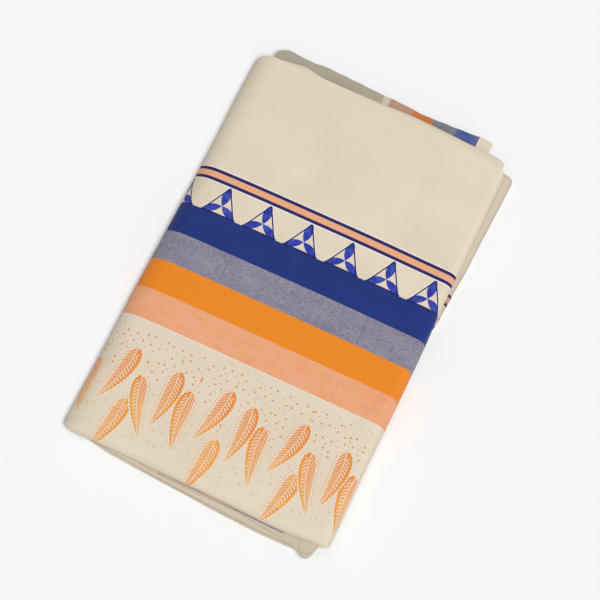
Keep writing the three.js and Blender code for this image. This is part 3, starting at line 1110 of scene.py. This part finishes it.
def core_ring(stretch, inset):
    rough_x = core_left + core_width * held_shares[:, 0]
    rough_y = face_front + (core_back - face_front) * held_shares[:, 1]
    ceiling = core_base + (loose_top - core_base) * (stretch + 1) / loose_on_right
    right_limit = edge_at(face_right_end, "y", rough_y, "z")
    right_limit = np.minimum(right_limit, second_right_hem) - 0.8
    free = np.clip((right_limit - ceiling) / 0.8, 0, 1)
    corner = (free * (held_shares[:, 0] > 0.5))[:, None]
    shares = held_shares + (loose_shares - held_shares) * corner
    stray_x = 0.4 * math.sin(2.4 * stretch + 1)
    stray_y = 0.7 * math.sin(1.7 * stretch)
    left = edge_at(face_left_edge, "y", rough_y, "x") + 3.3 + stray_x
    left = left + 0.4 * wander(rough_y, stretch, 2.0) + inset
    held_right = edge_at(face_right_edge, "y", rough_y, "x") - 4.1
    loose_right = edge_at(loose_right_edge, "y", rough_y, "x") + stray_x
    loose_right = loose_right + 0.6 * wander(rough_y, stretch, 0.0) - 0.3
    right = held_right + (loose_right - held_right) * free - inset
    x = left + (right - left) * shares[:, 0]
    front = np.full_like(x, face_front + 4.2)
    if stretch < loose_in_front:
        front = edge_at(loose_front_edge, "x", x, "y") + stray_y + 0.3
        front = front + wander(x, stretch, 1.0)
    back = edge_at(loose_back_edge, "x", x, "y") + stray_y + wander(x, stretch, 3.0)
    y = front + inset + (back - front - 2 * inset) * shares[:, 1]
    return x, y


# %% [markdown]
# The heights of the stretches differ from side to side. On the left they share the height evenly.
# On the right the loose ones end just under the top cloth's hanging edge. In front and at the back
# two of them are drawn in behind the root of the loose fold, level with it, so the fold has a slot
# to lie in. Round a corner, one side's heights pass smoothly into the next's.

# %% Heights of the stretches
front_levels = {
    "x": [-146, -120, -96, -66, -56, 0, 51, 97, 113, 122, 128, 134, 140, 146],
    "z": [4.5, 7.1, 11.2, 12.4, 11.4, 12.1, 12.0, 11.8, 11.3, 8.6, 7.2, 8.0, 10.2, 11.0],
}


def eased(value, low, high):
    share = np.clip((value - low) / (high - low), 0, 1)
    return share * share * (3 - 2 * share)


def drop_past(distance, outer_radius):
    radius = outer_radius - 3.4
    reach = np.clip(distance, 0, radius)
    return radius - np.sqrt(radius * radius - reach * reach)


def core_top(x, y):
    left = drop_past(edge_at(face_left_edge, "y", y, "x") + left_roll - x, left_roll)
    right = drop_past(x - edge_at(face_right_edge, "y", y, "x") + right_roll, right_roll)
    front = drop_past(face_front + front_roll - y, front_roll)
    drop = (np.maximum(left, right) ** 6 + front ** 6) ** (1 / 6)
    return np.maximum(crown(x, y) - core_depth - drop, lowest_hem)


def climb(passed, counts, levels):
    height = levels[0]
    for i in range(len(counts) - 1):
        share = np.clip((passed - counts[i]) / (counts[i + 1] - counts[i]), 0, 1)
        height = height + (levels[i + 1] - levels[i]) * share
    return height


def front_slot(x):
    return eased(x, -63.5, -60.8) * (1 - eased(x, 139.2, 141))


def stretch_height(passed, x, y):
    top = core_top(x, y)
    low = edge_at(front_levels, "x", x, "z", soft=3.0)
    high = low + (top - low) / 3
    high = high + (15.5 - high) * front_slot(x)
    left = climb(passed, (0, hidden_stretches), (core_base, top))
    right = climb(
        passed, (0, loose_on_right, hidden_stretches), (core_base, loose_top, top),
    )
    front = climb(
        passed, (0, loose_in_front, 8, hidden_stretches), (core_base, low, high, top),
    )
    back = climb(passed, (0, 5, 7, hidden_stretches), (core_base, 10.0, 14.1, top))
    height = np.where(x > 0, right, left)
    height = height + (front - height) * eased(-y, 200, 212)
    at_back = eased(y, 201, 216) * (1 - eased(x, 119, 128))
    return height + (back - height) * at_back


def draw_in_behind_folds(x, y, stretch):
    if stretch in (5, 6):
        share = eased(x, -130, -128.4) * (1 - eased(x, 118.4, 120))
        y = np.where(y > 206.2, y + (206.2 - y) * share, y)
    if stretch in (6, 7):
        y = np.where(y < -207.2, y + (-207.2 - y) * front_slot(x), y)
    return y


# %% [markdown]
# The body is built as rings from the bottom up. In each stretch the rings go in at its two edges
# and a little at each ply, so light and shadow draw the plies on the side. Its two ends are closed
# by strips of faces, and lie hidden.

# %% Hidden stretches
ply_profile = (
    {"rise": 0.005, "inset": 2.4},
    {"rise": 0.03, "inset": 1.0},
    {"rise": 0.12, "inset": 0.35},
    {"rise": 0.24, "inset": 0.28},
    {"rise": 0.30, "inset": 0.55},
    {"rise": 0.38, "inset": 0.14},
    {"rise": 0.49, "inset": 0.12},
    {"rise": 0.55, "inset": 0.45},
    {"rise": 0.62, "inset": 0.14},
    {"rise": 0.74, "inset": 0.18},
    {"rise": 0.79, "inset": 0.50},
    {"rise": 0.88, "inset": 0.36},
    {"rise": 0.97, "inset": 1.0},
    {"rise": 0.995, "inset": 2.4},
)


def core_rings():
    rings = []
    stretch_of_ring = []
    flat = np.full(len(held_shares), core_base)
    for inset in (30, 8, 3.6):
        rings.append((*core_ring(0, inset), flat))
        stretch_of_ring.append(-1)
    for stretch in range(hidden_stretches):
        side_x, side_y = core_ring(hidden_stretches, 0)
        lift = 0.1 * np.sin(side_x / 23 + side_y / 31 + 1.9 * stretch)
        for row in ply_profile:
            passed = stretch + row["rise"]
            heights = stretch_height(passed, side_x, side_y)
            heights = heights + lift * math.sin(passed / hidden_stretches * math.pi)
            inset = row["inset"] + (1.1 if stretch == 0 else 0)
            x, y = core_ring(stretch, inset)
            rings.append((x, draw_in_behind_folds(x, y, stretch), heights))
            stretch_of_ring.append(stretch)
    for inset in (3.0, 6, 11, 22, 50, 90, 125):
        x, y = core_ring(hidden_stretches, inset)
        rings.append((x, y, core_top(x, y)))
        stretch_of_ring.append(-1)
    return np.array(rings).transpose(0, 2, 1), np.array(stretch_of_ring)


def closing_strips(count):
    half = count // 2
    return [(i, count - 1 - i, count - 2 - i, i + 1) for i in range(half - 1)]


def faces_of_rings(points):
    ring_count, around = points.shape[:2]
    number = np.arange(ring_count * around).reshape(ring_count, around)
    following = np.roll(number, -1, axis=1)
    sides_between = np.stack([number[:-1], following[:-1], following[1:], number[1:]], axis=-1)
    bottom = closing_strips(around)
    last = (ring_count - 1) * around
    top = [tuple(last + i for i in reversed(face)) for face in bottom]
    return sides_between.reshape(-1, 4).tolist() + bottom + top


core_points, stretch_of_ring = core_rings()
core_faces = faces_of_rings(core_points)
print("rings in the body:", len(core_points))

# %% [markdown]
# Most of the side is plain cream. The highest loose stretches on the right belong to the banded
# end, and their bands show along it, nearer the front than the top cloth's. A face of the mesh
# therefore takes its place on the cloth either from the plain field or from that end.

# %% The cloth map of the hidden stretches
def body_from_rings(name, points, faces, cloth_places):
    piece = piece_from_faces(name, points, faces, cloth_places, hidden_cotton)
    bpy.ops.object.shade_smooth()
    print(name, "has", len(piece.data.polygons), "faces")
    return piece


def core_cloth_places():
    steps = np.diff(core_points, axis=0, prepend=core_points[:1])
    climbed = np.cumsum(np.linalg.norm(steps, axis=-1), axis=0)
    outline_steps = np.diff(core_points[20], axis=0, prepend=core_points[20][:1])
    passed = np.cumsum(np.linalg.norm(outline_steps, axis=-1))
    plain = np.stack([np.broadcast_to(passed, climbed.shape), 700 + climbed], axis=-1)
    banded = np.stack([150 + climbed - climbed[20], core_points[..., 1] + 17.5], axis=-1)
    on_right = (held_shares[:, 0] > 0.97) & (np.abs(held_shares[:, 1] - 0.5) < 0.46)
    high = (stretch_of_ring >= 3) & (stretch_of_ring <= 7)
    use_banded = high[:-1, None] & on_right[None, :]
    chosen = np.zeros(len(core_faces), bool)
    chosen[:use_banded.size] = use_banded.ravel()
    corners = np.array([corner for face in core_faces for corner in face])
    per_corner = np.repeat(chosen, 4)[:, None]
    return np.where(per_corner, banded.reshape(-1, 2)[corners], plain.reshape(-1, 2)[corners])


hidden_folds = body_from_rings("hidden_folds", core_points, core_faces, core_cloth_places())

# %% [markdown]
# The lowest stretch is flat where it rests. It is one ply of plain cloth with a rounded edge, and
# shows as the last line above the table. It is made of rings too, drawn in from the body's outline.

# %% Lowest stretch
lowest_profile = (
    {"inset": 30, "z": 0.0},
    {"inset": 8, "z": 0.0},
    {"inset": 1.9, "z": 0.0},
    {"inset": 1.45, "z": 0.2},
    {"inset": 1.3, "z": 0.65},
    {"inset": 1.45, "z": 1.1},
    {"inset": 1.9, "z": 1.3},
    {"inset": 8, "z": 1.3},
    {"inset": 30, "z": 1.3},
)
lowest_rings = []
for row in lowest_profile:
    x, y = core_ring(0, row["inset"])
    lowest_rings.append((x, y, np.full_like(x, row["z"])))
lowest_points = np.array(lowest_rings).transpose(0, 2, 1)
lowest_faces = faces_of_rings(lowest_points)
lowest_corners = np.array([corner for face in lowest_faces for corner in face])
lowest_cloth = lowest_points.reshape(-1, 3)[lowest_corners][:, :2] + np.array([0, 900])
lowest_stretch = body_from_rings("lowest_stretch", lowest_points, lowest_faces, lowest_cloth)

# %% [markdown]
# Every piece rides on the one body and stands for its node in the frame, whose own part is
# hidden. The size of each sheet unfolded is worked out too, and the top cloth's is printed.

# %% Pieces and their nodes
def unfolded(across, along):
    return ((across.max() - across.min()) / 1000, (along.max() - along.min()) / 1000)


pieces = (
    {"piece": top_cloth, "node": "pallu_face", "slot": "printed_cotton"},
    {"piece": second_stretch, "node": "second_fold", "slot": "plain_cotton"},
    {"piece": hidden_folds, "node": "folded_core", "slot": "plain_cotton"},
    {"piece": back_fold, "node": "border_flap", "slot": "border_cotton"},
    {"piece": loose_front_fold, "node": "front_fold", "slot": "plain_cotton"},
    {"piece": lowest_stretch, "node": "under_stretch", "slot": "plain_cotton"},
)
for entry in pieces:
    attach(entry["piece"], "root")
    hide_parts(entry["node"])

top_size = unfolded(top_x["cloth"], top_y["cloth"])
second_size = unfolded(second_x["cloth"], second_y["cloth"])
flap_size = unfolded(flap_x, flap_cloth)
front_size = unfolded(front_x, front_cloth_length)
lowest_size = unfolded(lowest_points[..., 0], lowest_points[..., 1])
print("top cloth unfolded:", top_size)
